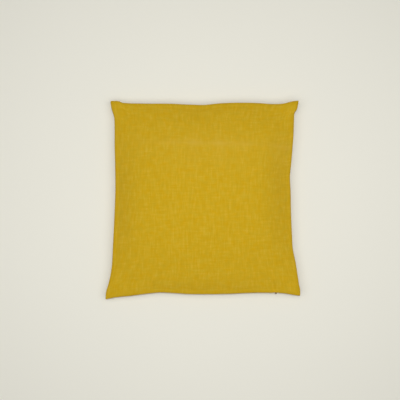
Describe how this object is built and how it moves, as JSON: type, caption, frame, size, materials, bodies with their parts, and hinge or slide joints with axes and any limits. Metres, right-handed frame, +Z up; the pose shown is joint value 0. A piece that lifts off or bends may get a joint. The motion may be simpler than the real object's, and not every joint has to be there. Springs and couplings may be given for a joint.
{
  "type": "linen pillow",
  "caption": "Square knife-edge linen pillow, softly crowned, with seams drawn in between pointed corners and a concealed zip end in one seam.",
  "frame": {"origin": "centre of the pillow's plan extents, on the surface it lies on", "axes": "+Z up through the crown; +Y along the slightly longer sides, away from the seam with the zip; +X to the right seen from that seam, so the zip end is at +X and -Y"},
  "size_m": [0.4866, 0.4968, 0.0922],
  "materials": {
    "linen": "matt plain weave with slubs",
    "zip_metal": "dark antique"
  },
  "bodies": {
    "root": {"cushion": "linen", "zip_slider": "zip_metal", "zip_pull": "zip_metal"}
  },
  "joints": []
}
